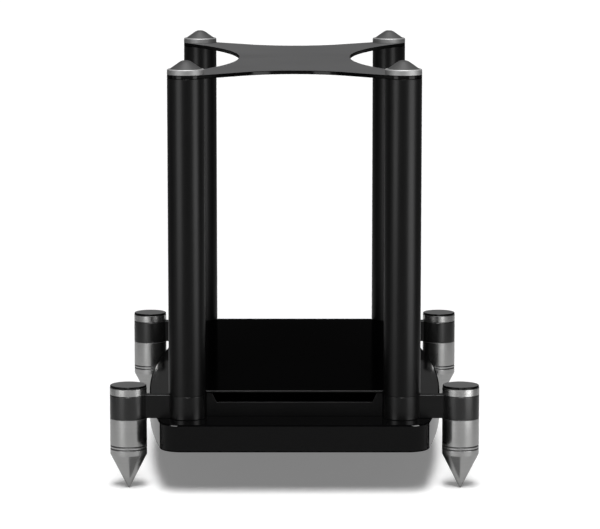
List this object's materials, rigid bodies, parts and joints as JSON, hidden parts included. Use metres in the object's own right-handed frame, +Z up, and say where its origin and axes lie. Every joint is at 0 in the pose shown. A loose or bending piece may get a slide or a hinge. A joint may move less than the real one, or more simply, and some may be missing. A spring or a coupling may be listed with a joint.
{
  "type": "speaker stand",
  "caption": "Low, deep loudspeaker stand: round pillars on a bowed slab, a cross-shaped top plate with domed rubber pads, and outrigger feet with levelling spikes.",
  "frame": {"origin": "on the floor, under the middle of the stand, with the spikes screwed fully in", "axes": "+Z up, +Y to the rear along the long way of the stand, +X to the right seen from the front"},
  "size_m": [0.401, 0.59, 0.466],
  "materials": {
    "gloss_black": "black gloss lacquer on aluminium plate",
    "deck_black": "deep black lacquer on aluminium sheet",
    "plate_black": "black satin gloss lacquer on aluminium plate",
    "tube_black": "satin black anodised tube",
    "arm_black": "satin black lacquer",
    "ring_steel": "turned, satin",
    "foot_steel": "turned, satin",
    "fixing_steel": "zinc plated",
    "cap_black": "black satin gloss lacquer",
    "rubber": "smooth moulded dark grey rubber"
  },
  "bodies": {
    "frame": {"base_slab": "gloss_black", "outrigger_front_left": "arm_black", "outrigger_front_right": "arm_black", "outrigger_rear_left": "arm_black", "outrigger_rear_right": "arm_black", "front_rail": "gloss_black", "rear_rail": "gloss_black", "left_rail": "gloss_black", "right_rail": "gloss_black", "deck_plate": "deck_black", "pillar_front_left": "tube_black", "pillar_front_right": "tube_black", "pillar_rear_left": "tube_black", "pillar_rear_right": "tube_black", "pillar_plugs": "fixing_steel", "top_plate": "plate_black", "pad_ring_front_left": "ring_steel", "pad_ring_front_right": "ring_steel", "pad_ring_rear_left": "ring_steel", "pad_ring_rear_right": "ring_steel", "pad_front_left": "rubber", "pad_front_right": "rubber", "pad_rear_left": "rubber", "pad_rear_right": "rubber", "tie_rods": "fixing_steel", "tie_nuts": "fixing_steel", "tie_washers": "fixing_steel", "rail_screws": "fixing_steel", "foot_studs": "fixing_steel", "sleeve_front_left": "foot_steel", "sleeve_front_right": "foot_steel", "sleeve_rear_left": "foot_steel", "sleeve_rear_right": "foot_steel", "foot_ring_front_left": "foot_steel", "foot_ring_front_right": "foot_steel", "foot_ring_rear_left": "foot_steel", "foot_ring_rear_right": "foot_steel", "foot_cap_front_left": "cap_black", "foot_cap_front_right": "cap_black", "foot_cap_rear_left": "cap_black", "foot_cap_rear_right": "cap_black"},
    "lift_front_left": {"jam_ring_front_left": "foot_steel"},
    "spike_front_left": {"spike_front_left": "foot_steel"},
    "lift_front_right": {"jam_ring_front_right": "foot_steel"},
    "spike_front_right": {"spike_front_right": "foot_steel"},
    "lift_rear_left": {"jam_ring_rear_left": "foot_steel"},
    "spike_rear_left": {"spike_rear_left": "foot_steel"},
    "lift_rear_right": {"jam_ring_rear_right": "foot_steel"},
    "spike_rear_right": {"spike_rear_right": "foot_steel"}
  },
  "joints": [
    {"name": "spike_lift_front_left", "type": "slide", "parent": "frame", "child": "lift_front_left", "axis": [0, 0, -1], "range_m": [0, 0.0105]},
    {"name": "spike_turn_front_left", "type": "hinge", "parent": "lift_front_left", "child": "spike_front_left", "pos_m": [-0.1805, -0.25, 0.04], "axis": [0, 0, -1], "range_deg": [0, 2160]},
    {"name": "spike_lift_front_right", "type": "slide", "parent": "frame", "child": "lift_front_right", "axis": [0, 0, -1], "range_m": [0, 0.0105]},
    {"name": "spike_turn_front_right", "type": "hinge", "parent": "lift_front_right", "child": "spike_front_right", "pos_m": [0.1805, -0.25, 0.04], "axis": [0, 0, -1], "range_deg": [0, 2160]},
    {"name": "spike_lift_rear_left", "type": "slide", "parent": "frame", "child": "lift_rear_left", "axis": [0, 0, -1], "range_m": [0, 0.0105]},
    {"name": "spike_turn_rear_left", "type": "hinge", "parent": "lift_rear_left", "child": "spike_rear_left", "pos_m": [-0.1805, 0.25, 0.04], "axis": [0, 0, -1], "range_deg": [0, 2160]},
    {"name": "spike_lift_rear_right", "type": "slide", "parent": "frame", "child": "lift_rear_right", "axis": [0, 0, -1], "range_m": [0, 0.0105]},
    {"name": "spike_turn_rear_right", "type": "hinge", "parent": "lift_rear_right", "child": "spike_rear_right", "pos_m": [0.1805, 0.25, 0.04], "axis": [0, 0, -1], "range_deg": [0, 2160]}
  ],
  "couplings": [
    {"joint": "spike_turn_front_left", "follows": "spike_lift_front_left", "rad_per_m": 3590.4},
    {"joint": "spike_turn_front_right", "follows": "spike_lift_front_right", "rad_per_m": 3590.4},
    {"joint": "spike_turn_rear_left", "follows": "spike_lift_rear_left", "rad_per_m": 3590.4},
    {"joint": "spike_turn_rear_right", "follows": "spike_lift_rear_right", "rad_per_m": 3590.4}
  ]
}
